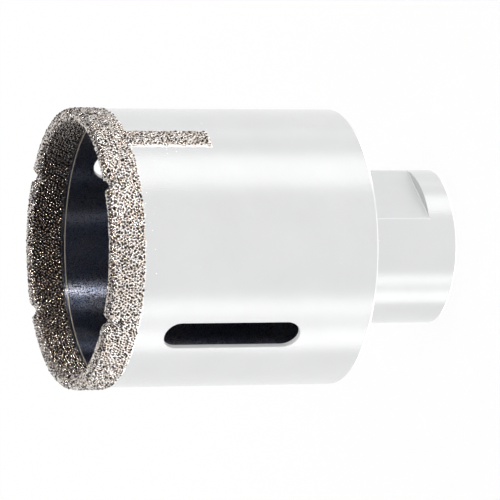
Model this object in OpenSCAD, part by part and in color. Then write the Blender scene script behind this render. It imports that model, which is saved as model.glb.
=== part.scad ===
// Diamond core bit, standing on the end face of its hub with the cutting mouth up.
// The bit's axis is Z, and Z = 0 is the hub's end face.
// The diamond strips and the spanner flats face X, and the slots face Y.

/* [Barrel] */
// Outer diameter of the steel tube
barrel_d = 50; // [36:0.5:80]
// Thickness of the tube's wall
barrel_wall = 1; // [0.8:0.1:2.5]
// Length of the steel tube
barrel_l = 49.7; // [46:0.1:80]
// Chamfer on the tube's back edge
barrel_chamfer = 0.3; // [0.1:0.05:0.6]

/* [Mouth] */
// Depth of the counterbore inside the mouth
counterbore_l = 7.1; // [6.5:0.1:10]
// Width of the step where the counterbore ends
counterbore_step = 0.3; // [0.1:0.05:0.5]
// Number of notches in the mouth
notch_count = 6; // [2:1:10]
// Width of a notch at the cutting edge
notch_w = 2.8; // [2.4:0.1:5]
// Depth of a notch
notch_depth = 0.9; // [0.4:0.1:1.2]
// Angle of the first notch from the X axis
notch_angle = 37.3; // [20:0.1:70]

/* [Slots] */
// Number of slots round the tube
slot_count = 2; // [1:1:3]
// Length of a slot, with its round ends
slot_l = 25.4; // [10:0.1:28]
// Width of a slot
slot_w = 5.6; // [4:0.1:9]
// Distance from the tube's back edge to a slot's near end
slot_back = 13.1; // [8:0.1:16]

/* [Diamond layer] */
// Height of the layer on the outside of the mouth
rim_out_l = 6.3; // [3:0.1:9]
// Height of the layer on the inside of the mouth
rim_in_l = 6.7; // [3:0.1:7]
// Thickness of the layer outside the tube and over the mouth
grit_t = 0.5; // [0.3:0.05:1]
// Thickness of the layer inside the mouth
grit_in_t = 1.1; // [0.5:0.1:1.5]
// Radius of the rim's two cutting edges
rim_edge_r = 1; // [0.3:0.1:1]
// Length of a strip behind the rim
strip_l = 15.2; // [6:0.1:20]
// Width of a strip
strip_w = 4.1; // [2:0.1:8]

/* [Hub] */
// Diameter of the boss
boss_d = 28; // [26:0.5:34]
// Length of the boss behind the tube
boss_l = 19.5; // [14:0.5:30]
// Distance across the spanner flats
flats_w = 24.5; // [21:0.5:27]
// Length of the round collar behind the flats
collar_l = 4.85; // [2:0.05:8]
// Radius in the corner between boss and end plate
boss_root_r = 0.8; // [0.3:0.1:2]
// Thickness of the end plate
plate_t = 4; // [3:0.5:8]
// Chamfers on the edges of the plate and the boss
hub_chamfer = 0.2; // [0.1:0.05:0.5]

/* [Thread] */
// Large diameter of the threaded hole
thread_d = 14; // [10:0.5:16]
// Depth of the countersinks at the ends of the hole
countersink = 0.8; // [0.3:0.1:1.5]

/* [Hidden] */
$fn = 180;
quarter = 90;
half = 180;
// How far a cutting shape runs past the surface that it cuts
past = 1;

barrel_r = barrel_d / 2;
bore_r = barrel_r - barrel_wall;
counterbore_r = bore_r + counterbore_step;
grit_r = barrel_r + grit_t;
rim_in_r = counterbore_r - grit_in_t;
// The cutting edges stay clear of each other when the rim is made thin.
edge_r = min(rim_edge_r, 0.45 * (grit_r - rim_in_r));

back_z = boss_l;
steel_end_z = back_z + barrel_l;
mouth_z = steel_end_z + grit_t;
counterbore_z = steel_end_z - counterbore_l;
rim_back_z = mouth_z - rim_out_l;
rim_in_back_z = mouth_z - rim_in_l;
strip_back_z = rim_back_z - strip_l;

// A notch is part of a circle whose chord and depth are the notch's own.
notch_r = (pow(notch_w / 2, 2) + pow(notch_depth, 2)) / (2 * notch_depth);
notch_z = mouth_z - notch_depth + notch_r;

// The wall's half profile, with the chamfer at the back and the counterbore at the mouth.
module wall_profile() {
    polygon([
        [bore_r, back_z],
        [barrel_r - barrel_chamfer, back_z],
        [barrel_r, back_z + barrel_chamfer],
        [barrel_r, steel_end_z],
        [counterbore_r, steel_end_z],
        [counterbore_r, counterbore_z],
        [bore_r, counterbore_z]
    ]);
}

// Round bars that lie across the mouth, one through each notch.
module notch_bars(bar_r) {
    for (i = [0 : notch_count - 1])
        rotate([0, 0, notch_angle + i * 360 / notch_count])
            translate([bore_r / 2, 0, notch_z])
                rotate([0, quarter, 0])
                    cylinder(r = bar_r, h = barrel_r);
}

// The tube's wall, with notches that leave room for the diamond layer.
module notched_wall() {
    difference() {
        rotate_extrude() wall_profile();
        notch_bars(notch_r + grit_t);
    }
}

// One long hole with full round ends, cut outwards from the axis along X.
module slot_cutter() {
    near_z = back_z + slot_back + slot_w / 2;
    far_z = back_z + slot_back + slot_l - slot_w / 2;
    rotate([0, quarter, 0])
        linear_extrude(barrel_r + past)
            union() {
                translate([-near_z, 0]) circle(d = slot_w);
                translate([-far_z, 0]) circle(d = slot_w);
                translate([-far_z, -slot_w / 2]) square([far_z - near_z, slot_w]);
            }
}

module barrel() {
    color("gainsboro")
        difference() {
            notched_wall();
            for (i = [0 : slot_count - 1])
                rotate([0, 0, quarter + i * 360 / slot_count]) slot_cutter();
        }
}

// The rim's half profile, with the wall still inside it and two round cutting edges.
module rim_profile() {
    round_z = mouth_z - edge_r;
    translate([rim_in_r, rim_in_back_z])
        square([counterbore_r - rim_in_r, round_z - rim_in_back_z]);
    translate([counterbore_r, rim_back_z])
        square([grit_r - counterbore_r, round_z - rim_back_z]);
    translate([rim_in_r + edge_r, round_z])
        square([grit_r - rim_in_r - 2 * edge_r, edge_r]);
    intersection() {
        translate([rim_in_r, round_z])
            square([grit_r - rim_in_r, edge_r]);
        union() {
            translate([rim_in_r + edge_r, round_z]) circle(edge_r);
            translate([grit_r - edge_r, round_z]) circle(edge_r);
        }
    }
}

// The brazed diamond layer on the mouth, outside, over the end and inside.
module diamond_rim() {
    color("rosybrown")
        difference() {
            rotate_extrude() rim_profile();
            notched_wall();
            notch_bars(notch_r);
        }
}

// One diamond strip, along the outside of the tube from the rim backwards.
module diamond_strip(i) {
    color("rosybrown")
        rotate([0, 0, i * half])
            intersection() {
                difference() {
                    translate([0, 0, strip_back_z]) cylinder(r = grit_r, h = strip_l);
                    translate([0, 0, strip_back_z - past]) cylinder(r = barrel_r, h = strip_l + 2 * past);
                }
                translate([0, -strip_w / 2, strip_back_z]) cube([grit_r + past, strip_w, strip_l]);
            }
}

// The hub's half profile: boss, round corner, end plate, and a hole with two countersinks.
module hub_profile() {
    thread_r = thread_d / 2;
    boss_r = boss_d / 2;
    plate_z = back_z + plate_t;
    difference() {
        polygon([
            [thread_r + countersink, 0],
            [boss_r - hub_chamfer, 0],
            [boss_r, hub_chamfer],
            [boss_r, back_z - boss_root_r],
            [boss_r + boss_root_r, back_z],
            [bore_r - hub_chamfer, back_z],
            [bore_r, back_z + hub_chamfer],
            [bore_r, plate_z],
            [thread_r + countersink, plate_z],
            [thread_r, plate_z - countersink],
            [thread_r, countersink]
        ]);
        translate([boss_r + boss_root_r, back_z - boss_root_r]) circle(boss_root_r);
    }
}

// The two spanner flats, between the collar and the tube.
module flat_cutters() {
    for (side = [0, 1])
        mirror([side, 0, 0])
            translate([flats_w / 2, -boss_d, collar_l])
                cube([boss_d, 2 * boss_d, back_z - collar_l]);
}

module hub() {
    color("lightgray")
        difference() {
            rotate_extrude() hub_profile();
            flat_cutters();
        }
}

barrel();
hub();
diamond_rim();
diamond_strip(0);  // diamond_strip_1
diamond_strip(1);  // diamond_strip_2
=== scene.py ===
"""The finished surfaces of a diamond core bit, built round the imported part.

Lengths are written in millimetres times MM, and every mesh is in metres in the part's own frame: the bit's
axis is Z, the hub's end face is Z = 0, and the cutting mouth is up.
"""
import math

import bpy
import numpy as np
from mathutils import Matrix, Vector, noise
from mathutils.kdtree import KDTree


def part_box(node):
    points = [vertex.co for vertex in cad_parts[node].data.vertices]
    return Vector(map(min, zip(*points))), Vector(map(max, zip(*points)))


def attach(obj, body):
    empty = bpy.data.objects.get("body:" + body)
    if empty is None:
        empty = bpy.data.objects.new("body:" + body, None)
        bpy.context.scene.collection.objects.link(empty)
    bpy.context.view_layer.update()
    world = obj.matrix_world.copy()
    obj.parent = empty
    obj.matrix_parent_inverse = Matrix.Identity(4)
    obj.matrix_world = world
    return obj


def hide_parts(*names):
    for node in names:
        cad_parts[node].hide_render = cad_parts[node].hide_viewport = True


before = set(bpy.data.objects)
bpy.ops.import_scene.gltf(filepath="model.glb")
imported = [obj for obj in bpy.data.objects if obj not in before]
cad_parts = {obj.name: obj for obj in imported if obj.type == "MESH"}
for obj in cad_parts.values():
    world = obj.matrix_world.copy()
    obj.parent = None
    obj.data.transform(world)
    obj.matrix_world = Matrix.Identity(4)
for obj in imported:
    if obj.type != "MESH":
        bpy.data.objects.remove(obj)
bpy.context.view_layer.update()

MM = 0.001
DEG = math.pi / 180
UP = np.array([0, 0, 1.0])
SEED = 17

# Points whose places round to the same step are joined
JOIN_STEP = 0.0002 * MM

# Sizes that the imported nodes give
BARREL_LOW, BARREL_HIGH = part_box("barrel")
HUB_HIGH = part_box("hub")[1]
RIM_LOW, RIM_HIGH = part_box("diamond_rim")
STRIP_LOW, STRIP_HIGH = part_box("diamond_strip_1")
BARREL_R = BARREL_HIGH.x
BACK_Z = BARREL_LOW.z
STEEL_END_Z = BARREL_HIGH.z
PLATE_Z = HUB_HIGH.z
BORE_R = HUB_HIGH.x
GRIT_R = RIM_HIGH.x
MOUTH_Z = RIM_HIGH.z
RIM_IN_BACK_Z = RIM_LOW.z
STRIP_BACK_Z = STRIP_LOW.z
RIM_BACK_Z = STRIP_HIGH.z
STRIP_W = STRIP_HIGH.y - STRIP_LOW.y

# Steel tube. Its end is covered by the diamond layer
BROKEN_EDGE_R = 0.05 * MM
BACK_CHAMFER = 0.3 * MM
COUNTERBORE_R = BORE_R + 0.3 * MM
COUNTERBORE_Z = STEEL_END_Z - 7.1 * MM
STEP_EDGE_R = 0.11 * MM
COVERED_END_Z = STEEL_END_Z - 0.6 * MM
COVERED_OUT_R = 0.5 * MM
COVERED_IN_R = 0.2 * MM

# The slots. They lie at whole degrees, because the tube has a column of faces at each degree
SLOT_DEGREES = (91, 271)
SLOT_W = 5.6 * MM
SLOT_L = 25.4 * MM
SLOT_MIDDLE_Z = BACK_Z + 13.1 * MM + SLOT_L / 2
SLOT_EDGE_R = 0.14 * MM

# The patch of wall round a slot. Its edge has one step for each point of the slot's outline
PATCH_HALF_DEGREES = 12
PATCH_COLUMNS = 2 * PATCH_HALF_DEGREES
PATCH_ROWS = 48
PATCH_LOW_Z = SLOT_MIDDLE_Z - 15.5 * MM
PATCH_HIGH_Z = SLOT_MIDDLE_Z + 15.5 * MM
SLOT_CORNER_STEPS = 5

# Hub
BOSS_R = 14 * MM
BOSS_ROOT_R = 0.8 * MM
FLAT_X = 12.25 * MM
FLAT_EDGE_R = 0.45 * MM
FLAT_CORNER_R = 0.18 * MM
FLAT_COLUMNS = 48
EDGE_COLUMNS = 4
ROUND_COLUMNS = 116
COLLAR_Z = 4.85 * MM
HUB_EDGE_R = 0.2 * MM
HOLE_R = 7 * MM
COUNTERSINK = 0.8 * MM

# M14 thread. Its foot is sunk in the hole's wall, and a cone at each face cuts its ends
PITCH = 2 * MM
CREST_R = 5.92 * MM
FOOT_R = HOLE_R + 0.02 * MM
FOOT_W = PITCH * 7 / 8
CREST_W = PITCH / 4
LEAST_RIDGE = 0.03 * MM
END_CONE_R = HOLE_R + 1.1 * MM
THREAD_COLUMNS = 96

# Diamond layer: the notches in the mouth's end
NOTCH_COUNT = 6
NOTCH_AZIMUTH = 37.3 * DEG
NOTCH_W = 2.8 * MM
NOTCH_DEPTH = 0.9 * MM
NOTCH_REACH = 2.5 * MM
NOTCH_SOFT_EDGE = 0.12 * MM

# Diamond layer: the braze bed. It is thinner on one side, and its top falls towards another
BED_T = 0.22 * MM
BED_TOP_T = 0.13 * MM
BED_TOP_FALL = 0.32 * MM
LOW_AZIMUTH = 118 * DEG
BED_THINNING = 0.25 * MM
THIN_AZIMUTH = 50 * DEG
BED_CORNER_R = 0.95 * MM
BED_IN_R = 23.1 * MM
BED_STEP = 0.12 * MM
BACK_WANDER = 0.35 * MM
BACK_WANDER_SIZE = 1.3 * MM
BACK_WANDER_REACH = 1.2 * MM
SMOOTH_EDGE_W = 0.1 * MM
FILLET_W = 0.35 * MM
FILLET_ROWS = 3
END_GAP = 0.01 * MM
# Height, size and shift of the bed's soft random swells
BED_SWELLS = ((0.1 * MM, 1.1 * MM, 0), (0.05 * MM, 0.4 * MM, 40))

# Diamond layer: the grains, the ring of braze and the hollow at each, and the lumps inside. The two edges of
# the bed have no grains on some width
GRAIN_R = 0.22 * MM
GRAIN_SCALES = (0.65, 1.25)
GRAIN_STRETCH = (0.85, 1.15)
GRAIN_SHAKE = (-0.1, 0.1)
GRAIN_SPACING = 0.57 * MM
GRAIN_FREE_W = (FILLET_W, 1.2 * FILLET_W)
ROW_SHARE = 0.87
SCATTER = 0.3
GRAIN_LIFT = (-0.1 * MM, 0.03 * MM)
GRAIN_GAP = 0.005 * MM
RING_R = 0.28 * MM
RING_W = 0.11 * MM
RING_H = 0.14 * MM
MOAT_R = 0.2 * MM
MOAT_DEPTH = 0.06 * MM
KNOB_SPACING = 0.62 * MM
KNOB_R = 0.2 * MM
KNOB_H = 0.4 * MM

# Diamond layer: the side strips. They run a little way under the rim's layer
STRIP_END_W = 0.1 * MM
STRIP_LAP = 0.5 * MM
STRIP_STEP = 0.14 * MM
STRIP_WANDER = 0.25 * MM
STRIP_WANDER_SIZE = 1.2 * MM
STRIP_MARGIN = 0.15 * MM
STRIP_LEAST = -0.02 * MM
STRIP_SINK = 0.03 * MM

# Camera
VIEW_ANGLE = -50.2 * DEG
VIEW_ELEVATION = 19.745 * DEG
VIEW_ROLL = 0.0057
VIEW_DISTANCE = 850 * MM
VIEW_LENS = 339.1
AIM_HEIGHT = 44.58 * MM
AIM_RIGHT = 9.309 * MM
AIM_UP = -0.466 * MM

# What reflections see has a heading, in degrees round the bit from the camera's side, and a height, from -1
# straight below to 1 straight above. A fade says between which two of them a light changes
HORIZON_FADE = (0.02, 0.30)

# Below the horizon they see a plain surround of strength 1 and soft boxes on it. A box has the angle round
# the bit at which its wall shows it, half of its width there, how soft its edges are, and how much brighter
# it is than the surround
SOFT_BOXES = (
    (33.5, 7.5, 3.0, 0.30),
    (-25.5, 3.5, 1.5, 0.30),
    (-41.5, 5.5, 1.5, 0.36),
    (-31.5, 3.5, 2.0, 0.12),
    (54.5, 2.5, 2.0, 0.08),
)
BOX_FADE = (-0.7, -0.85)
BOX_SHARE_BELOW = 0.2
# Steeply below there is more: a plain light, one at each side, for positive and for negative headings, and
# one straight below, which the back chamfer shows
STEEP_LIGHT = 0.35
SIDE_LIGHTS = (2.6, 4.6)
SIDE_FADE = (30.0, 70.0)
STEEP_BAND = ((-0.56, -0.68), (-0.76, -0.83))
EDGE_LIGHT = 0.6
EDGE_FADE = (-0.89, -0.93)

# Above the horizon, in the mouth, they see a dark room with a pale backdrop behind the bit, a screen beside
# that, a ceiling, and small lamps. A lamp has its heading, half of its width, its soft edge and its light
ROOM_LIGHT = 0.03
BACKDROP_LIGHT = 0.7
BACKDROP_FADE = (110.0, 150.0)
SCREEN_LIGHT = 0.6
SCREEN_FADE = (-98.0, -125.0)
OVERHEAD_LIGHT = 0.3
OVERHEAD_FADE = (0.62, 0.8)
LAMPS = (
    (38.4, 2.5, 1.5, 74.0),
    (51.0, 3.5, 2.0, 7.0),
    (97.0, 3.0, 2.0, 4.0),
    (-66.0, 3.0, 2.0, 1.5),
)
LAMP_BAND = ((0.2, 0.28), (0.45, 0.53))
# The dark room is bluish and the lamps are warm. These fades are of a light's strength
ROOM_TINT = (0.5, 0.75, 1.6)
ROOM_TINT_FADE = (ROOM_LIGHT, 0.3)
LAMP_TINT = (1.1, 1.04, 0.93)
LAMP_TINT_FADE = (4.0, 12.0)

# Tones of the materials, and the range in which most of a noise lies
NOISE_RANGE = (0.3, 0.7)
WHITE = (1.0, 1.0, 1.0)
STEEL_TINT = (1.0, 1.005, 1.01)
# The counterbore step's edge is pale tan and near white: a painted highlight line
STEP_LINE_TINT = (1.0, 0.88, 0.72)
# The tones inside the tube are a dark blue-black that is painted shade for the inside of the cup
INSIDE_SHADE_TONES = ((0.115, 0.135, 0.2), (0.19, 0.185, 0.2))
# The braze's last tone is painted shade, which the bed takes in its hollows
BRAZE_TONES = ((0.96, 0.91, 0.87), (0.72, 0.62, 0.54), (0.06, 0.035, 0.022))
DIAMOND_TONES = ((0.008, 0.004, 0.003), (0.04, 0.025, 0.018))
# How far the fine grooves inside the tube tilt its normal along the axis
GROOVE_TILT = 0.8


class Skin:
    """Grids of points, each with its normal, that are joined into one mesh."""

    def __init__(self):
        self.points, self.normals, self.quads, self.materials = [], [], [], []
        self.count = 0

    def grid(self, points, normals, material=0, around=False):
        """Adds rows of points. With around, the last column joins the first.

        The normals may be one for all points, and the material may be one for each column.
        """
        points = np.array(points, float)
        normals = np.broadcast_to(np.array(normals, float), points.shape)
        rows, columns = points.shape[:2]
        index = np.arange(rows * columns).reshape(rows, columns)
        if around:
            index = np.hstack([index, index[:, :1]])
        quads = np.stack([index[:-1, :-1], index[:-1, 1:], index[1:, 1:], index[1:, :-1]], -1).reshape(-1, 4)
        flat, towards = points.reshape(-1, 3), normals.reshape(-1, 3)
        across = np.cross(flat[quads[:, 2]] - flat[quads[:, 0]], flat[quads[:, 3]] - flat[quads[:, 1]])
        if (across * towards[quads].sum(1)).sum() < 0:
            quads = quads[:, ::-1]
        self.points.append(flat)
        self.normals.append(towards)
        self.quads.append(quads + self.count)
        self.materials.append(np.broadcast_to(material, (rows - 1, index.shape[1] - 1)).ravel())
        self.count += len(flat)

    def build(self, name, materials, own_normals=True):
        """Joins points that meet, drops faces without area and makes the object."""
        points, normals = np.vstack(self.points), np.vstack(self.normals)
        quads, kinds = np.vstack(self.quads), np.concatenate(self.materials)
        _, first, joined = np.unique(np.round(points / JOIN_STEP).astype(np.int64), axis=0,
                                     return_index=True, return_inverse=True)
        corners = joined.reshape(-1)[quads]
        fresh = corners != np.roll(corners, 1, axis=1)
        kept = fresh.sum(1) >= 3
        quads, corners, fresh, kinds = quads[kept], corners[kept], fresh[kept], kinds[kept]
        return make_object(name, points[first], corners[fresh], fresh.sum(1), materials, kinds,
                           normals[quads[fresh]] if own_normals else None)


def make_object(name, points, corners, sizes, materials, kinds=None, corner_normals=None):
    """A mesh object from flat arrays: the faces' corners in a row, and each face's number of corners."""
    mesh = bpy.data.meshes.new(name)
    mesh.vertices.add(len(points))
    mesh.vertices.foreach_set("co", np.asarray(points, np.float32).ravel())
    mesh.loops.add(len(corners))
    mesh.loops.foreach_set("vertex_index", np.asarray(corners, np.int32))
    mesh.polygons.add(len(sizes))
    starts = np.concatenate([[0], np.cumsum(sizes)[:-1]])
    mesh.polygons.foreach_set("loop_start", starts.astype(np.int32))
    if kinds is not None:
        mesh.polygons.foreach_set("material_index", kinds.astype(np.int32))
    mesh.update(calc_edges=True)
    for material in materials:
        mesh.materials.append(material)
    if corner_normals is not None:
        mesh.shade_smooth()
        lengths = np.linalg.norm(corner_normals, axis=1, keepdims=True)
        mesh.normals_split_custom_set((corner_normals / lengths).tolist())
    item = bpy.data.objects.new(name, mesh)
    bpy.context.scene.collection.objects.link(item)
    return item


def on_circle(radius, angle, z):
    """Points at a radius, an angle and a height. Each is a number or an array."""
    return np.stack(np.broadcast_arrays(radius * np.cos(angle), radius * np.sin(angle), z), -1)


def revolve(points, normals, angles):
    """Turns a profile of (r, z) points round the axis, one column for each angle."""
    return tuple(on_circle(pairs[:, :1], angles, pairs[:, 1:]) for pairs in (points, normals))


def soften(corners, steps=3):
    """Rounds a closed outline of (r, z, radius) corners that runs counter-clockwise.

    Returns its points and their outward normals. A corner of radius 0 gives two points with a normal each.
    """
    points, normals = [], []
    places = [np.array(corner[:2]) for corner in corners]
    for i, (_, _, radius) in enumerate(corners):
        before = places[i] - places[i - 1]
        after = places[(i + 1) % len(places)] - places[i]
        a, b = before / np.linalg.norm(before), after / np.linalg.norm(after)
        normal_a, normal_b = np.array([a[1], -a[0]]), np.array([b[1], -b[0]])
        if radius == 0:
            points += [places[i], places[i]]
            normals += [normal_a, normal_b]
            continue
        turn = math.atan2(a[0] * b[1] - a[1] * b[0], a @ b)
        arm = radius * math.copysign(1, turn)
        centre = places[i] - a * radius * math.tan(abs(turn) / 2) - normal_a * arm
        for angle in np.linspace(0, turn, steps + 1):
            normal = normal_a * math.cos(angle) + a * math.sin(angle)
            points.append(centre + normal * arm)
            normals.append(normal)
    return np.array(points), np.array(normals)


def stepped(bounds, counts):
    """Even steps from each bound to the next, without the last bound."""
    return np.concatenate([np.linspace(start, end, count, endpoint=False)
                           for start, end, count in zip(bounds, bounds[1:], counts)])


def wall(radius, start_z, end_z, side, rows=1):
    """A profile along the axis that faces out, with side 1, or in, with side -1."""
    return np.linspace((radius, start_z), (radius, end_z), rows + 1), np.tile((side, 0.0), (rows + 1, 1))


# Barrel


def slot_outline(offset):
    """The slot's outline, widened by offset: lateral and axial places, and the directions away from the slot.

    It starts at the lower left and runs counter-clockwise, as the patch round it does.
    """
    reach = (SLOT_L - SLOT_W) / 2
    counts = 2 * (PATCH_COLUMNS, SLOT_CORNER_STEPS, PATCH_ROWS - 2 * SLOT_CORNER_STEPS, SLOT_CORNER_STEPS)
    angles = stepped((-135, -45, 0, 0, 45, 135, 180, 180, 225), counts) * DEG
    middles = stepped((-reach, -reach, -reach, reach, reach, reach, reach, -reach, -reach), counts)
    away = np.stack([np.cos(angles), np.sin(angles)], -1)
    places = away * (SLOT_W / 2 + offset)
    places[:, 1] += middles
    return places, away


def slot_wall(skin, azimuth, material):
    """The slot's own wall, with a small round edge outside and inside."""
    out = on_circle(1, azimuth, 0)
    side = np.cross(UP, out)
    points, normals = [], []
    for sign, surface_r in ((1, BARREL_R), (-1, BORE_R)):
        for angle in np.linspace(0, 90, 5)[::sign] * DEG:
            radius = surface_r - sign * SLOT_EDGE_R * (1 - math.cos(angle))
            places, away = slot_outline(SLOT_EDGE_R * (1 - math.sin(angle)))
            depth = np.sqrt(radius ** 2 - places[:, :1] ** 2)
            ring = places[:, :1] * side + (SLOT_MIDDLE_Z + places[:, 1:]) * UP + depth * out
            radial = ring * [1, 1, 0] / radius
            points.append(ring)
            normals.append(sign * radial * math.cos(angle)
                           - (away[:, :1] * side + away[:, 1:] * UP) * math.sin(angle))
    skin.grid(points, normals, material, around=True)


def slot_surround(skin, azimuth, radius, sign, material, rings=7):
    """The curved wall round a slot, out to the straight edges of the patch, which the plain wall shares."""
    places, _ = slot_outline(SLOT_EDGE_R)
    inner_angle, inner_z = np.arcsin(places[:, 0] / radius), SLOT_MIDDLE_Z + places[:, 1]
    half, counts = PATCH_HALF_DEGREES * DEG, 2 * (PATCH_COLUMNS, PATCH_ROWS)
    outer_angle = stepped((-half, half, half, -half, -half), counts)
    outer_z = stepped((PATCH_LOW_Z, PATCH_LOW_Z, PATCH_HIGH_Z, PATCH_HIGH_Z, PATCH_LOW_Z), counts)
    points, normals = [], []
    for share in np.linspace(0, 1, rings + 1) ** 1.5:
        angle = azimuth + inner_angle * (1 - share) + outer_angle * share
        points.append(on_circle(radius, angle, inner_z * (1 - share) + outer_z * share))
        normals.append(on_circle(sign, angle, 0))
    skin.grid(points, normals, material, around=True)


def barrel(steel, shaded_inside, step_line_steel, cut_steel):
    """The tube with its slots, back chamfer and counterbore."""
    skin = Skin()
    # The inside takes the dark colour that is painted shade, and the step's edge the painted highlight line
    outside, inside, step_edge, cut = range(4)
    angles = np.arange(360) * DEG

    def turned(points, normals, material):
        """A turned stretch of the tube, which the notches lower near the mouth."""
        places, facing = revolve(points, normals, angles)
        share = np.clip((places[..., 2] - STEEL_END_Z) / NOTCH_REACH + 1, 0, 1)
        places[..., 2] -= notch_dip(places[..., 0], places[..., 1]) * share
        skin.grid(places, facing, material, around=True)

    outline, facing = soften([
        (BORE_R, BACK_Z, 0), (BARREL_R - BACK_CHAMFER, BACK_Z, BROKEN_EDGE_R),
        (BARREL_R, BACK_Z + BACK_CHAMFER, BROKEN_EDGE_R), (BARREL_R, COVERED_END_Z, COVERED_OUT_R),
        (COUNTERBORE_R, COVERED_END_Z, COVERED_IN_R), (COUNTERBORE_R, COUNTERBORE_Z, 0),
        (BORE_R, COUNTERBORE_Z, STEP_EDGE_R)])
    on_wall = np.flatnonzero((np.abs(outline[:, 0] - BARREL_R) < 1e-9) & (facing[:, 0] > 0.999))
    first, last = on_wall[0], on_wall[-1]
    # The last five points are the counterbore's step and its round edge
    step = len(outline) - 5
    turned(outline[1:first + 1], facing[1:first + 1], outside)
    turned(*wall(BARREL_R, outline[first, 1], PATCH_LOW_Z, 1), outside)
    turned(*wall(BARREL_R, PATCH_HIGH_Z, outline[last, 1], 1, rows=4), outside)
    turned(outline[last:step], facing[last:step], inside)
    turned(outline[step:], facing[step:], step_edge)
    turned(*wall(BORE_R, outline[-1, 1], PATCH_HIGH_Z, -1), inside)
    turned(*wall(BORE_R, PATCH_LOW_Z, BACK_Z, -1), inside)
    for degrees in SLOT_DEGREES:
        start = degrees + PATCH_HALF_DEGREES
        plain = np.arange(start, start + 181 - PATCH_COLUMNS) * DEG
        for radius, sign, material in ((BARREL_R, 1, outside), (BORE_R, -1, inside)):
            skin.grid(*revolve(*wall(radius, PATCH_LOW_Z, PATCH_HIGH_Z, sign, PATCH_ROWS), plain), material)
            slot_surround(skin, degrees * DEG, radius, sign, material)
        slot_wall(skin, degrees * DEG, cut)
    return skin.build("tube", [steel, shaded_inside, step_line_steel, cut_steel])


# Hub


def boss_section(radius, flat_x):
    """A cross-section of the boss: its places, their normals, and which of them belong to the two flats.

    Each half has a flat, a round edge, the round part and the round edge of the other flat.
    """
    edge_x = flat_x - FLAT_EDGE_R
    edge_y = math.sqrt((radius - FLAT_EDGE_R) ** 2 - edge_x ** 2)
    end = math.atan2(edge_y, edge_x)
    counts = (FLAT_COLUMNS, EDGE_COLUMNS, ROUND_COLUMNS, EDGE_COLUMNS)
    turns = stepped((0, 0, end, math.pi - end, math.pi), counts)
    arms = np.repeat([0, FLAT_EDGE_R, radius, FLAT_EDGE_R], counts)
    centres = np.repeat([(flat_x, 0), (edge_x, edge_y), (0, 0), (-edge_x, edge_y)], counts, axis=0)
    centres[:FLAT_COLUMNS, 1] = np.linspace(-edge_y, edge_y, FLAT_COLUMNS, endpoint=False)
    normals = np.stack([np.cos(turns), np.sin(turns)], -1)
    places = centres + arms[:, None] * normals
    is_flat = np.repeat([True, True, False, True], counts)
    return np.vstack([places, -places]), np.vstack([normals, -normals]), np.tile(is_flat, 2)


def boss_rows():
    """The boss's rows of points and normals, from the corner at the collar to the one at the plate."""
    rows = []

    def add(z, radius, flat_x, round_normal, flat_lean=0.0):
        """Adds a row. The round part's normal is (r, z), and flat_lean is the z of the flats' normal."""
        places, normals, is_flat = boss_section(radius, flat_x)
        spread = np.where(is_flat, math.sqrt(1 - flat_lean ** 2), round_normal[0])
        lean = np.where(is_flat, flat_lean, round_normal[1])
        rows.append((np.column_stack([places, np.full(len(places), z)]),
                     np.column_stack([normals * spread[:, None], lean])))

    for turn in np.linspace(0, 90, 5) * DEG:
        rise, inset = FLAT_CORNER_R * (1 - math.cos(turn)), FLAT_CORNER_R * (1 - math.sin(turn))
        add(COLLAR_Z + rise, BOSS_R, FLAT_X + inset, (1, 0), math.cos(turn))
    for z in np.linspace(COLLAR_Z + FLAT_CORNER_R, BACK_Z - BOSS_ROOT_R, 9)[1:]:
        add(z, BOSS_R, FLAT_X, (1, 0))
    for turn in np.linspace(0, 90, 9)[1:] * DEG:
        spread, drop = BOSS_ROOT_R * (1 - math.cos(turn)), BOSS_ROOT_R * (1 - math.sin(turn))
        add(BACK_Z - drop, BOSS_R + spread, FLAT_X, (math.cos(turn), -math.sin(turn)))
    return zip(*rows)


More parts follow.
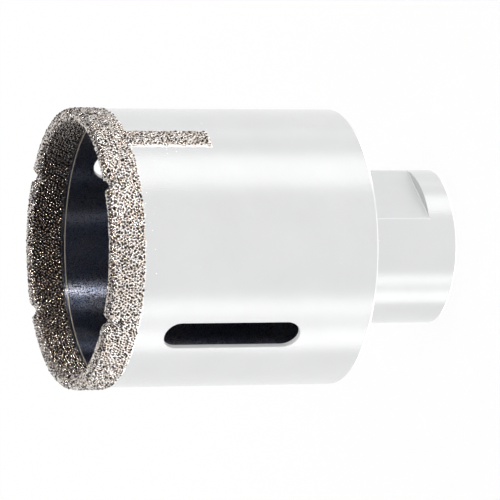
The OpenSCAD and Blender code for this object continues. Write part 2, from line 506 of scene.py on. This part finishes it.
def hub(steel, shaded_inside, milled_steel):
    """The turned hub: collar, flats, round corner, end plate and the plain hole behind the thread."""
    skin = Skin()
    turned, dark, milled = range(3)

    # The flats' columns meet the collar's round edge straight out from each flat
    feet, normals, is_flat = boss_section(BOSS_R, FLAT_X + FLAT_CORNER_R)
    x, y = feet.T
    collar_x = np.where(is_flat, np.sign(x) * np.sqrt(np.maximum(BOSS_R ** 2 - y ** 2, 0)), x)
    collar_angles = np.arctan2(y, collar_x)
    lower, lower_normals = soften([
        (HOLE_R, COUNTERSINK, 0), (HOLE_R + COUNTERSINK, 0, BROKEN_EDGE_R),
        (BOSS_R, 0, HUB_EDGE_R), (BOSS_R, COLLAR_Z, 0)])
    skin.grid(*revolve(lower[1:-1], lower_normals[1:-1], collar_angles), turned, around=True)
    z = np.full(len(x), COLLAR_Z)
    for start in (0, len(x) // 2):
        picked = np.arange(start - EDGE_COLUMNS, start + FLAT_COLUMNS + EDGE_COLUMNS + 1)
        inner, outer = np.column_stack([x, y, z])[picked], np.column_stack([collar_x, y, z])[picked]
        skin.grid(np.linspace(inner, outer, 5), UP, turned)

    rows, row_normals = boss_rows()
    on_level = np.abs(normals[:, 0]) == 1
    kinds = np.where(on_level & np.roll(on_level, -1), milled, turned)
    skin.grid(rows, row_normals, kinds, around=True)

    root = rows[-1]
    angles = np.arctan2(root[:, 1], root[:, 0])
    plate_edge_r = BORE_R - HUB_EDGE_R
    skin.grid(np.linspace(root, on_circle(plate_edge_r, angles, BACK_Z), 5), -UP, turned, around=True)
    upper, upper_normals = soften([
        (plate_edge_r, BACK_Z, 0), (BORE_R, BACK_Z + HUB_EDGE_R, 0), (BORE_R, PLATE_Z, 0),
        (HOLE_R + COUNTERSINK, PLATE_Z, BROKEN_EDGE_R), (HOLE_R, PLATE_Z - COUNTERSINK, 0),
        (HOLE_R, COUNTERSINK, 0)])
    # The profile's points at which the plate's top and the hole begin
    top, hole = 5, 11
    skin.grid(*revolve(upper[1:top], upper_normals[1:top], angles), turned, around=True)
    # The plate's top inside the cup takes the dark colour that is painted shade
    skin.grid(*revolve(upper[top:hole], upper_normals[top:hole], angles), dark, around=True)
    upper_end = on_circle(HOLE_R, angles, PLATE_Z - COUNTERSINK)
    lower_end = on_circle(HOLE_R, collar_angles, COUNTERSINK)
    inward = [on_circle(-1, angles, 0), on_circle(-1, collar_angles, 0)]
    skin.grid([upper_end, lower_end], inward, turned, around=True)
    return skin.build("hub_body", [steel, shaded_inside, milled_steel])


def thread(steel):
    """The ridge of a right-hand thread, wound inside the hub's hole."""
    low, high = COUNTERSINK, PLATE_Z - COUNTERSINK
    steps = int((high - low - PITCH) / PITCH * THREAD_COLUMNS)
    turns = np.arange(steps + 1)[:, None] / THREAD_COLUMNS
    z = low + PITCH / 2 + turns * PITCH + np.array([-FOOT_W, -CREST_W, CREST_W, FOOT_W]) / 2
    radius = np.maximum([FOOT_R, CREST_R, CREST_R, FOOT_R], END_CONE_R - np.minimum(z, PLATE_Z - z))
    radius = np.minimum(radius, FOOT_R - LEAST_RIDGE * np.array([0, 1, 1, 0]))
    points = on_circle(radius, turns * 2 * math.pi, z)
    corners = []
    for start in range(0, steps * 4, 4):
        for k in range(4):
            a, b = start + k, start + (k + 1) % 4
            corners += [a, b, b + 4, a + 4]
    last = steps * 4
    corners += [3, 2, 1, 0, last, last + 1, last + 2, last + 3]
    return make_object("thread_ridge", points.reshape(-1, 3), corners, [4] * (len(corners) // 4), [steel])


# Diamond layer


def notch_dip(x, y):
    """How far the mouth's end is lowered at a place by the notches."""
    radius = (NOTCH_W ** 2 / 4 + NOTCH_DEPTH ** 2) / (2 * NOTCH_DEPTH)
    dip = np.zeros_like(x)
    for k in range(NOTCH_COUNT):
        azimuth = NOTCH_AZIMUTH + k * 2 * math.pi / NOTCH_COUNT
        along = x * math.cos(azimuth) + y * math.sin(azimuth)
        across = -x * math.sin(azimuth) + y * math.cos(azimuth)
        depth = NOTCH_DEPTH - radius + np.sqrt(np.maximum(radius ** 2 - across ** 2, 0))
        depth = np.where(np.abs(across) < radius, depth, -1 * MM)
        depth = NOTCH_SOFT_EDGE * np.logaddexp(0, depth / NOTCH_SOFT_EDGE)
        dip = np.where(along > 0, np.maximum(dip, depth), dip)
    return np.minimum(dip, NOTCH_DEPTH)


def bed_profile():
    """The braze bed's section from the outside's back edge, over the mouth, to the inside's back edge.

    Returns even (r, z) places and how far along the section each lies.
    """
    top, out_r, corner = MOUTH_Z - BED_TOP_T, BARREL_R + BED_T, BED_CORNER_R
    places = [(BARREL_R + BED_T * t ** 2, RIM_BACK_Z - FILLET_W * (1 - t)) for t in np.linspace(0, 1, 6)]
    for centre_r, start in ((out_r - corner, 0), (BED_IN_R + corner, 90)):
        for angle in np.linspace(start, start + 90, 13) * DEG:
            places.append((centre_r + corner * math.cos(angle), top - corner + corner * math.sin(angle)))
    for angle in np.linspace(90, 0, 5) * DEG:
        places.append((COUNTERBORE_R - (COUNTERBORE_R - BED_IN_R) * math.sin(angle),
                       RIM_IN_BACK_Z + FILLET_W * 2 * (1 - math.cos(angle))))
    places = np.array(places)
    lengths = np.concatenate([[0], np.cumsum(np.linalg.norm(np.diff(places, axis=0), axis=1))])
    at = np.linspace(0, lengths[-1], int(lengths[-1] / BED_STEP) + 1)
    return section_at(at, lengths, places), at


def section_at(where, at, profile):
    """The (r, z) places of a profile at some distances along it."""
    return np.stack([np.interp(where, at, profile[:, k]) for k in (0, 1)], -1)


def place_on_rim(angle, section):
    """Points of the undisturbed bed for angles and (r, z) section places.

    The bed is thinner round THIN_AZIMUTH, and lower round LOW_AZIMUTH and in the notches.
    """
    r, z = section[..., 0], section[..., 1]
    thinning = BED_THINNING * (1 + np.cos(angle - THIN_AZIMUTH)) / 2
    fall = BED_TOP_FALL * (1 + np.cos(angle - LOW_AZIMUTH)) / 2
    r = r - thinning * np.clip((r - COUNTERBORE_R) / (BARREL_R - COUNTERBORE_R), 0, 1)
    x, y = r * np.cos(angle), r * np.sin(angle)
    share = np.clip((z + NOTCH_REACH + BED_CORNER_R - MOUTH_Z) / NOTCH_REACH, 0, 1)
    return np.stack([x, y, z - (notch_dip(x, y) + fall) * share], -1)


def grid_normals(points):
    """The normals of a grid of points that closes on itself, from each point's neighbours."""
    along = np.roll(points, -1, 1) - np.roll(points, 1, 1)
    normals = np.cross(along, np.gradient(points, axis=0))
    return normals / np.linalg.norm(normals, axis=-1, keepdims=True)


def scattered(rng, length, width, spacing, around):
    """Places in a rectangle: staggered rows, each place moved a little at random."""
    rows = max(1, round(width / (spacing * ROW_SHARE)))
    columns = max(1, round(length / spacing))
    u, v = np.meshgrid(np.arange(columns), np.arange(rows))
    u = (u + 0.25 + 0.5 * (v % 2)) * length / columns
    v = (v + 0.5) * width / rows
    u = u + rng.uniform(-SCATTER, SCATTER, u.shape) * spacing
    v = v + rng.uniform(-SCATTER, SCATTER, v.shape) * spacing
    if around:
        u = u % length
    return u.ravel(), np.clip(v.ravel(), 0.1 * spacing, width - 0.1 * spacing)


def swell(points, amount, size, shift):
    """A smooth random rise and fall for each point. Another shift gives another pattern."""
    flat = points.reshape(-1, 3) / size
    values = [noise.noise(Vector((p[0] + shift, p[1], p[2]))) for p in flat.tolist()]
    return amount * np.array(values).reshape(points.shape[:-1])


def nearest_distance(points, centres):
    """The distance from each point to the nearest centre."""
    tree = KDTree(len(centres))
    for i, centre in enumerate(centres.tolist()):
        tree.insert(centre, i)
    tree.balance()
    flat = points.reshape(-1, 3).tolist()
    return np.array([tree.find(p)[2] for p in flat]).reshape(points.shape[:-1])


def turned_at_random(rng, count):
    """Random turns, as 3 by 3 matrices."""
    q = rng.normal(size=(count, 4))
    q /= np.linalg.norm(q, axis=1, keepdims=True)
    w, x, y, z = q.T
    return np.stack([
        np.stack([1 - 2 * (y * y + z * z), 2 * (x * y - w * z), 2 * (x * z + w * y)], -1),
        np.stack([2 * (x * y + w * z), 1 - 2 * (x * x + z * z), 2 * (y * z - w * x)], -1),
        np.stack([2 * (x * z - w * y), 2 * (y * z + w * x), 1 - 2 * (x * x + y * y)], -1)], 1)


# A cube with its corners cut off at the middle of each edge: 12 corners, 6 squares and 8 triangles
GRAIN_POINTS = np.array([(a, b, 0) for a in (-1, 1) for b in (-1, 1)]
                        + [(a, 0, b) for a in (-1, 1) for b in (-1, 1)]
                        + [(0, a, b) for a in (-1, 1) for b in (-1, 1)], float) / math.sqrt(2)


def grain_faces():
    """The faces of one grain, found from its corners: each is the set that lies farthest in one direction."""
    faces = []
    directions = [(a, b, c) for a in (-1, 1) for b in (-1, 1) for c in (-1, 1)]
    directions += [side * axis for axis in np.eye(3) for side in (1, -1)]
    for direction in directions:
        out = np.array(direction, float)
        reach = GRAIN_POINTS @ out
        face = np.flatnonzero(reach > reach.max() - 1e-6)
        arms = GRAIN_POINTS[face] - GRAIN_POINTS[face].mean(0)
        u = arms[0]
        v = np.cross(out, u)
        turn = np.arctan2(arms @ v / np.linalg.norm(v), arms @ u / np.linalg.norm(u))
        faces.append(face[np.argsort(turn)])
    return faces


def grains(name, rng, centres, material):
    """Small turned blocks at the centres, kept inside the layer's outer limits."""
    count = len(centres)
    scales = GRAIN_R * rng.uniform(*GRAIN_SCALES, (count, 1, 1))
    shape = GRAIN_POINTS * rng.uniform(*GRAIN_STRETCH, (count, 1, 3))
    shape = shape + rng.uniform(*GRAIN_SHAKE, (count, len(GRAIN_POINTS), 3))
    points = np.einsum("nij,nkj->nki", turned_at_random(rng, count), shape) * scales + centres[:, None, :]
    reach = np.hypot(points[..., 0], points[..., 1])
    points[..., :2] *= np.minimum(1, (GRIT_R - GRAIN_GAP) / reach)[..., None]
    points[..., 2] = np.minimum(points[..., 2], MOUTH_Z - GRAIN_GAP)
    faces = grain_faces()
    corners = (np.concatenate(faces) + np.arange(count)[:, None] * len(GRAIN_POINTS)).ravel()
    sizes = np.tile([len(face) for face in faces], count)
    return make_object(name, points.reshape(-1, 3), corners, sizes, [material])


def relief(points, centres):
    """How far the bed rises over its plain surface.

    There is a hollow and a ring at each grain, and there are soft random swells.
    """
    distance = nearest_distance(points, centres)
    rise = RING_H * np.exp(-((distance - RING_R) / RING_W) ** 2)
    rise -= MOAT_DEPTH * np.exp(-(distance / MOAT_R) ** 2)
    for height, size, shift in BED_SWELLS:
        rise += swell(points, height, size, shift)
    return rise


def knobs(rng, plain, profile, at, start):
    """Round lumps of braze, which stand close together on the inside of the mouth, from a row on."""
    u, v = scattered(rng, 2 * math.pi * COUNTERBORE_R, at[-1] - at[start], KNOB_SPACING, around=True)
    seats = place_on_rim(u / COUNTERBORE_R, section_at(v + at[start], at, profile))
    rise = np.zeros(plain.shape[:2])
    rise[start:] = KNOB_H * np.exp(-(nearest_distance(plain[start:], seats) / KNOB_R) ** 2)
    return rise


def rim_centres(rng, profile, at, outward):
    """The middles of the rim's grains, and how far along the section each lies."""
    length = 2 * math.pi * BARREL_R
    u, v = scattered(rng, length, at[-1] - sum(GRAIN_FREE_W), GRAIN_SPACING, around=True)
    v = v + GRAIN_FREE_W[0]
    section = section_at(v, at, profile)
    # The inside is shorter round, so fewer are kept there
    kept = rng.uniform(size=len(u)) < section[:, 0] / BARREL_R
    u, v, section = u[kept], v[kept], section[kept]
    columns = outward.shape[1]
    row = np.interp(v, at, np.arange(len(at))).astype(int)
    column = (u / length * columns).astype(int) % columns
    lift = rng.uniform(*GRAIN_LIFT, (len(u), 1))
    return place_on_rim(u / BARREL_R, section) + outward[row, column] * lift, v


def rough_bed(rng, plain, outward, centres, profile, at, knob_row):
    """The bed's real surface: its relief, which ends in the fillets, and a back edge that wanders."""
    share = np.clip((np.minimum(at, at[-1] - at) - SMOOTH_EDGE_W) / FILLET_W, 0, 1)[:, None]
    rise = relief(plain, centres) + knobs(rng, plain, profile, at, knob_row)
    bed = plain + outward * (rise * share)[..., None]
    bed[..., 2] = np.minimum(bed[..., 2], MOUTH_Z - END_GAP)
    wander = swell(bed[:1] * [1, 1, 0], BACK_WANDER, BACK_WANDER_SIZE, shift=9)
    bed[..., 2] += wander * np.clip(1 - at / BACK_WANDER_REACH, 0, 1)[:, None]
    return bed


def rim(rng, braze, inner_braze, fillet, diamond):
    """The braze bed on the mouth, as an outer and an inner half, each with its grains."""
    profile, at = bed_profile()
    columns = int(2 * math.pi * BARREL_R / BED_STEP)
    angles = np.arange(columns) * 2 * math.pi / columns
    plain = place_on_rim(angles[None, :], profile[:, None, :])
    outward = grid_normals(plain)
    centres, along = rim_centres(rng, profile, at, outward)
    middle = np.flatnonzero(profile[:, 0] < BARREL_R - COVERED_OUT_R)[0]
    knob_row = np.flatnonzero(profile[:, 0] < BED_IN_R + SMOOTH_EDGE_W)[0]
    last = len(profile) - 1
    bed = rough_bed(rng, plain, outward, centres, profile, at, knob_row)
    facing = grid_normals(bed)

    out = on_circle(1, angles, 0)
    dip = notch_dip(*(BARREL_R * out[:, :2].T))

    def seat(radius, z):
        """A line round the tube's covered end, lowered in the notches."""
        return on_circle(radius, angles, z - dip)

    # Each half has its stretches of rows with their material, the two lines where it lies on the tube's
    # end, and the direction towards the tube
    on_bed, on_fillet, on_inside = range(3)
    halves = (
        ("outside", ((0, FILLET_ROWS, on_fillet), (FILLET_ROWS, middle, on_bed)),
         seat(BARREL_R, COVERED_END_Z - COVERED_OUT_R), seat(BARREL_R - COVERED_OUT_R, COVERED_END_Z), -out),
        ("inside", ((middle, knob_row, on_bed), (knob_row, last, on_inside)),
         seat(COUNTERBORE_R + COVERED_IN_R, COVERED_END_Z),
         seat(COUNTERBORE_R, COVERED_END_Z - COVERED_IN_R), out))
    pieces = []
    for name, stretches, near, far, inward in halves:
        skin = Skin()
        for start, end, kind in stretches:
            skin.grid(bed[start:end + 1], facing[start:end + 1], kind, around=True)
        under = [bed[stretches[0][0]], near, far, bed[stretches[-1][1]]]
        down = 0 * out - UP
        skin.grid(under, [inward, inward - UP, down, down], on_bed, around=True)
        pieces.append(skin.build(f"rim_braze_{name}", [braze, fillet, inner_braze]))
        own = (along < at[middle]) == (name == "outside")
        pieces.append(grains(f"rim_grains_{name}", rng, centres[own], diamond))
    return pieces


def strip(index, rng, braze, fillet, diamond):
    """One side strip: a low braze bed with a fillet all round, and its grains."""
    azimuth = index * math.pi
    low, high = STRIP_BACK_Z - STRIP_END_W, RIM_BACK_Z + STRIP_LAP
    half_w, half_l, centre_z = STRIP_W / 2 + FILLET_W, (high - low) / 2, (low + high) / 2

    def wrapped(side, axial, radius):
        """Points on the tube, for places across and along the strip."""
        return on_circle(radius, azimuth + side / BARREL_R, centre_z + axial)

    def to_edge(side, axial):
        """How far inside the strip's edge a place is. Towards the ends it counts double."""
        return np.minimum(half_w - np.abs(side), 2 * (half_l - np.abs(axial)))

    grain_l = 2 * half_l - STRIP_END_W - 2 * STRIP_MARGIN
    grain_w = STRIP_W - 2 * STRIP_MARGIN
    u, v = scattered(rng, grain_l, grain_w, GRAIN_SPACING, around=False)
    seat_r = BARREL_R + BED_T + rng.uniform(*GRAIN_LIFT, len(u))
    centres = wrapped(v - grain_w / 2, u - half_l + STRIP_END_W + STRIP_MARGIN, seat_r)

    columns, rows = int(2 * half_w / STRIP_STEP), int(2 * half_l / STRIP_STEP)
    across, along = np.meshgrid(np.linspace(-half_w, half_w, columns), np.linspace(-half_l, half_l, rows))
    plain = wrapped(across, along, BARREL_R + BED_T)
    edge = to_edge(across, along) + swell(plain, STRIP_WANDER, STRIP_WANDER_SIZE, shift=70)
    height = BED_T * np.clip(edge / FILLET_W, 0, 1) ** 2
    height += relief(plain, centres) * np.clip(edge / FILLET_W - 0.5, 0, 1)
    height = np.maximum(height, STRIP_LEAST)
    height[[0, -1], :] = height[:, [0, -1]] = -STRIP_SINK
    outward = wrapped(across, 0 * along - centre_z, 1)
    skin = Skin()
    skin.grid(wrapped(across, along, BARREL_R + height), outward)
    skin.grid(wrapped(across, along, BARREL_R - STRIP_SINK), -outward)
    body = skin.build(f"strip_braze_{index + 1}", [braze, fillet], own_normals=False)
    body.data.shade_smooth()

    middles = np.zeros(len(body.data.polygons) * 3)
    body.data.polygons.foreach_get("center", middles)
    _, y, z = middles.reshape(-1, 3).T
    is_fillet = to_edge(y, z - centre_z) < FILLET_W
    body.data.polygons.foreach_set("material_index", is_fillet.astype(np.int32))
    return [body, grains(f"strip_grains_{index + 1}", rng, centres, diamond)]


# Materials


class Shader:
    """A material's node tree, with short ways to add and join nodes."""

    def __init__(self, name):
        self.material = bpy.data.materials.new(name)
        self.material.use_nodes = True
        self.nodes, self.links = self.material.node_tree.nodes, self.material.node_tree.links
        self.surface = self.nodes["Principled BSDF"]

    def add(self, kind, inputs=None, **settings):
        """Adds a node. An input is a value, or another node's output to join."""
        node = self.nodes.new(kind)
        for key, value in settings.items():
            setattr(node, key, value)
        self.fill(node, inputs or {})
        return node

    def fill(self, node, inputs):
        """Sets or joins a node's inputs."""
        for key, value in inputs.items():
            if isinstance(value, bpy.types.NodeSocket):
                self.links.new(value, node.inputs[key])
            else:
                node.inputs[key].default_value = value

    def finish(self, **inputs):
        """Fills the surface's inputs, with _ for a space in a name, and returns the material."""
        self.fill(self.surface, {key.replace("_", " "): value for key, value in inputs.items()})
        return self.material

    def place(self):
        return self.add("ShaderNodeTexCoord").outputs["Object"]

    def vector(self, operation, *vectors):
        return self.add("ShaderNodeVectorMath", dict(enumerate(vectors)), operation=operation).outputs[0]

    def math(self, operation, *values):
        return self.add("ShaderNodeMath", dict(enumerate(values)), operation=operation).outputs[0]

    def total(self, first, *others):
        """The sum of several values."""
        for other in others:
            first = self.math("ADD", first, other)
        return first

    def noise(self, vector, scale, detail=2.0, roughness=0.6):
        return self.add("ShaderNodeTexNoise", {"Vector": vector, "Scale": scale, "Detail": detail,
                                               "Roughness": roughness}).outputs["Fac"]

    def span(self, value, low, high, to_low=0.0, to_high=1.0, **settings):
        """Maps a value from one range to another, without going past it."""
        return self.add("ShaderNodeMapRange", {"Value": value, "From Min": low, "From Max": high,
                                               "To Min": to_low, "To Max": to_high}, **settings).outputs[0]

    def mix(self, share, first, second):
        """A mixture of two colours."""
        return self.add("ShaderNodeMix", {0: share, 6: first, 7: second}, data_type="RGBA").outputs[2]

    def choose(self, share, first, second):
        """A mixture of two values."""
        return self.add("ShaderNodeMix", {0: share, 2: first, 3: second}, data_type="FLOAT").outputs[0]

    def bump(self, height, distance, strength=1.0, below=None):
        below = {} if below is None else {"Normal": below}
        return self.add("ShaderNodeBump", {"Height": height, "Distance": distance, "Strength": strength,
                                           **below}).outputs[0]

    def around(self):
        """The place round and along the axis: a vector that is smooth along a turned line."""
        x, y, z = self.add("ShaderNodeSeparateXYZ", {0: self.place()}).outputs
        round_place = self.math("MULTIPLY", self.math("ARCTAN2", y, x), 0.01)
        return self.add("ShaderNodeCombineXYZ", {0: round_place, 2: z}).outputs[0]


def colour(tone, level=1.0):
    """A tone made brighter or darker, as a colour for a socket."""
    return tuple(level * part for part in tone) + (1.0,)


def steel_material(name, level, roughness, tint=STEEL_TINT, metallic=1.0):
    """Finely turned satin steel with a slight grain and faint clouds."""
    shader = Shader(name)
    lines = shader.noise(shader.vector("MULTIPLY", shader.around(), (60, 1, 9000)), 1.0, 3.0)
    grain = shader.noise(shader.place(), 3600.0)
    cloud = shader.noise(shader.place(), 120.0, roughness=0.5)
    tone = shader.mix(shader.span(cloud, 0.35, 0.65), colour(tint, 0.975 * level), colour(tint, level))
    return shader.finish(
        Base_Color=tone, Metallic=metallic,
        Roughness=shader.span(grain, *NOISE_RANGE, roughness - 0.03, roughness + 0.03),
        Normal=shader.bump(grain, 0.024 * MM, below=shader.bump(lines, 0.006 * MM, 0.6)))


def shaded_inside_material():
    """The dark blue-black colour inside the tube, painted shade for the inside of the cup, with fine grooves
    round it that spread reflections.
    """
    shader = Shader("dark_inside_painted_shade")
    grain = shader.noise(shader.place(), 5000.0, 3.0, 0.7)
    cloud = shader.noise(shader.vector("MULTIPLY", shader.place(), (1, 1, 0.6)), 180.0, 3.0)
    lean = shader.span(grain, *NOISE_RANGE, -GROOVE_TILT, GROOVE_TILT)
    tilt = shader.add("ShaderNodeCombineXYZ", {2: lean}).outputs[0]
    tilted = shader.vector("ADD", shader.add("ShaderNodeNewGeometry").outputs["Normal"], tilt)
    return shader.finish(
        Base_Color=shader.mix(shader.span(cloud, 0.35, 0.7), *(colour(tone) for tone in INSIDE_SHADE_TONES)),
        Metallic=0.9, Roughness=shader.span(grain, *NOISE_RANGE, 0.25, 0.31),
        Anisotropic=0.97, Anisotropic_Rotation=0.25,
        Tangent=shader.add("ShaderNodeTangent", direction_type="RADIAL", axis="Z").outputs[0],
        Normal=shader.vector("NORMALIZE", tilted))


def braze_material(name, level, hollows, roughness):
    """Bright nickel braze with brownish patches, and painted shade in its hollows."""
    shader = Shader(name)
    bright, dull, hollow_shade = (colour(tone, level) for tone in BRAZE_TONES)
    patch = shader.noise(shader.place(), 900.0, 3.0)
    hollow = shader.add("ShaderNodeNewGeometry").outputs["Pointiness"]
    tone = shader.mix(shader.span(patch, 0.38, 0.66), bright, dull)
    ripple = shader.bump(shader.noise(shader.place(), 2600.0, 3.0), 0.16 * MM)
    return shader.finish(
        # The hollows take the painted shade tone
        Base_Color=shader.mix(shader.span(hollow, *hollows), hollow_shade, tone), Metallic=1.0,
        Roughness=shader.span(patch, *NOISE_RANGE, *roughness),
        Normal=shader.bump(shader.noise(shader.place(), 9000.0), 0.02 * MM, 0.6, ripple))


def diamond_material():
    """Dark brown-grey industrial diamond, glossy, and different from grain to grain."""
    shader = Shader("diamond_grains")
    tone = shader.noise(shader.place(), 1500.0, 1.0, 0.5)
    shade = shader.mix(shader.span(tone, 0.35, 0.65), *(colour(tone) for tone in DIAMOND_TONES))
    return shader.finish(Base_Color=shade, Metallic=0.0, IOR=1.5, Specular_IOR_Level=0.3,
                         Roughness=shader.span(tone, *NOISE_RANGE, 0.15, 0.35))


# Stage


def look_from(view_angle, elevation, roll):
    """The camera's right, up and back directions, for an angle from +X and an elevation from the floor."""
    level = Vector((math.cos(view_angle), math.sin(view_angle), 0))
    side = Vector((-math.sin(view_angle), math.cos(view_angle), 0))
    axis = Vector((0, 0, 1))
    back = level * math.cos(elevation) + axis * math.sin(elevation)
    down = level * math.sin(elevation) - axis * math.cos(elevation)
    right = down * math.cos(roll) - side * math.sin(roll)
    return right, down * math.sin(roll) + side * math.cos(roll), back


def make_camera():
    """A long lens at the photograph's angle, turned so that the bit's axis lies across the picture."""
    right, up, back = look_from(VIEW_ANGLE, VIEW_ELEVATION, VIEW_ROLL)
    data = bpy.data.cameras.new("camera")
    data.lens = VIEW_LENS
    data.sensor_width = 36
    data.clip_end = 10
    camera = bpy.data.objects.new("camera", data)
    bpy.context.scene.collection.objects.link(camera)
    middle = Vector((0, 0, AIM_HEIGHT))
    place = middle + back * VIEW_DISTANCE
    target = middle + right * AIM_RIGHT + up * AIM_UP
    back = (place - target).normalized()
    right = up.cross(back).normalized()
    turn = Matrix((right, back.cross(right), back)).transposed().to_4x4()
    camera.matrix_world = Matrix.Translation(place) @ turn
    bpy.context.scene.camera = camera


class WorldShader(Shader):
    """The same short ways, for the world's node tree."""

    def __init__(self, world):
        world.use_nodes = True
        self.material = world
        self.nodes, self.links = world.node_tree.nodes, world.node_tree.links
        self.surface = self.nodes["Background"]


def box_light(shader, heading, boxes, doubling):
    """The light of some boxes, for a heading in degrees from the camera's side."""
    lights = []
    for middle, half, edge, gain in boxes:
        away = shader.math("ABSOLUTE", shader.math("SUBTRACT", heading, middle * doubling))
        lights.append(shader.span(away, (half - edge) * doubling, (half + edge) * doubling, gain, 0.0,
                                  interpolation_type="SMOOTHSTEP"))
    return shader.total(*lights)


def in_band(shader, value, light, band):
    """A light that fades in and out again. Each fade of the band has a start and an end."""
    fade_in, fade_out = band
    window = shader.math("MULTIPLY", shader.span(value, *fade_in), shader.span(value, *fade_out, 1.0, 0.0))
    return shader.math("MULTIPLY", light, window)


def light_below(shader, heading, z):
    """What a reflection sees below the horizon.

    A wall turned by one degree shows a heading two degrees on, so the boxes' angles count double.
    """
    boxes = box_light(shader, heading, SOFT_BOXES, doubling=2)
    inner, outer = SIDE_FADE
    steep = shader.total(shader.span(heading, inner, outer, STEEP_LIGHT, SIDE_LIGHTS[0]),
                         shader.span(heading, -inner, -outer, 0.0, SIDE_LIGHTS[1]))
    return shader.total(
        1.0, shader.math("MULTIPLY", boxes, shader.span(z, *BOX_FADE, 1.0, BOX_SHARE_BELOW)),
        in_band(shader, z, steep, STEEP_BAND), shader.span(z, *EDGE_FADE, 0.0, EDGE_LIGHT))


def light_above(shader, heading, z):
    """What a reflection sees above the horizon."""
    lamps = box_light(shader, heading, LAMPS, doubling=1)
    return shader.total(
        shader.span(shader.math("ABSOLUTE", heading), *BACKDROP_FADE, ROOM_LIGHT, BACKDROP_LIGHT),
        shader.span(heading, *SCREEN_FADE, 0.0, SCREEN_LIGHT),
        shader.span(z, *OVERHEAD_FADE, 0.0, OVERHEAD_LIGHT), in_band(shader, z, lamps, LAMP_BAND))


def make_world():
    """A white surround that gives plain soft light. Only reflections see the boxes, room and lamps."""
    world = bpy.data.worlds.new("studio")
    bpy.context.scene.world = world
    world.cycles.sampling_method = "NONE"
    shader = WorldShader(world)
    direction = shader.add("ShaderNodeTexCoord").outputs["Generated"]
    from_camera = shader.add("ShaderNodeVectorRotate", {"Vector": direction, "Angle": -VIEW_ANGLE},
                             rotation_type="Z_AXIS").outputs[0]
    x, y, z = shader.add("ShaderNodeSeparateXYZ", {0: from_camera}).outputs
    heading = shader.math("MULTIPLY", shader.math("ARCTAN2", y, x), 1 / DEG)
    reflected = shader.choose(shader.span(z, *HORIZON_FADE), light_below(shader, heading, z),
                              light_above(shader, heading, z))
    path = shader.add("ShaderNodeLightPath").outputs
    strength = shader.choose(path["Is Glossy Ray"], 1.0, reflected)
    tint = shader.mix(shader.span(strength, *ROOM_TINT_FADE), colour(ROOM_TINT), colour(WHITE))
    shader.finish(Color=shader.mix(shader.span(strength, *LAMP_TINT_FADE), tint, colour(LAMP_TINT)),
                  Strength=strength)


def make_floor():
    """A white floor that keeps a light shadow. Reflections look through it to the surround."""
    shader = Shader("white_floor")
    matt = shader.add("ShaderNodeBsdfDiffuse", {"Color": colour(WHITE, 0.98)}).outputs[0]
    glow = shader.add("ShaderNodeEmission", {"Color": colour(WHITE), "Strength": 1.0}).outputs[0]
    mixed = shader.add("ShaderNodeMixShader", {0: 0.12, 1: glow, 2: matt}).outputs[0]
    clear = shader.add("ShaderNodeBsdfTransparent").outputs[0]
    path = shader.add("ShaderNodeLightPath").outputs
    final = shader.add("ShaderNodeMixShader", {0: path["Is Glossy Ray"], 1: mixed, 2: clear}).outputs[0]
    shader.links.new(final, shader.nodes["Material Output"].inputs["Surface"])
    half = 4.0
    corners = [(-half, -half, 0), (half, -half, 0), (half, half, 0), (-half, half, 0)]
    floor = make_object("floor", corners, [0, 1, 2, 3], [4], [shader.material])


def dress(piece, slot, *nodes):
    """The piece rides on the bit and stands for the nodes, which it hides. The slot is not used."""
    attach(piece, "root")
    if nodes:
        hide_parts(*nodes)


def main():
    rng = np.random.RandomState(SEED)
    bpy.context.scene.view_settings.view_transform = "Standard"
    make_camera()
    make_world()
    make_floor()
    tube_steel = steel_material("turned_steel_tube", 0.735, 0.17)
    hub_steel = steel_material("turned_steel_hub", 0.735, 0.14)
    milled_steel = steel_material("milled_steel_flats", 0.765, 0.9, metallic=0.0)
    cut_steel = steel_material("cut_steel_slots", 0.8, 0.6, metallic=0.0)
    # A near-white, mostly matt colour on the step's edge paints a highlight line
    step_line_steel = steel_material("step_edge_painted_highlight", 0.98, 0.3, STEP_LINE_TINT, 0.1)
    fillet = steel_material("bright_fillet", 0.97, 0.3)
    # The dark colour inside the tube and on the plate is painted shade
    shaded_inside = shaded_inside_material()
    # Both braze materials paint shade into their hollows; the inside one darkens more of them
    braze = braze_material("nickel_braze", 0.86, (0.42, 0.52), (0.16, 0.28))
    inner_braze = braze_material("nickel_braze_inside", 0.95, (0.485, 0.555), (0.2, 0.3))
    diamond = diamond_material()
    dress(barrel(tube_steel, shaded_inside, step_line_steel, cut_steel), "barrel_steel", "barrel")
    dress(hub(hub_steel, shaded_inside, milled_steel), "hub_steel", "hub")
    dress(thread(hub_steel), "hub_steel")
    for piece in rim(rng, braze, inner_braze, fillet, diamond):
        dress(piece, "diamond_grit", "diamond_rim")
    for index in (0, 1):
        for piece in strip(index, rng, braze, fillet, diamond):
            dress(piece, "diamond_grit", f"diamond_strip_{index + 1}")


main()
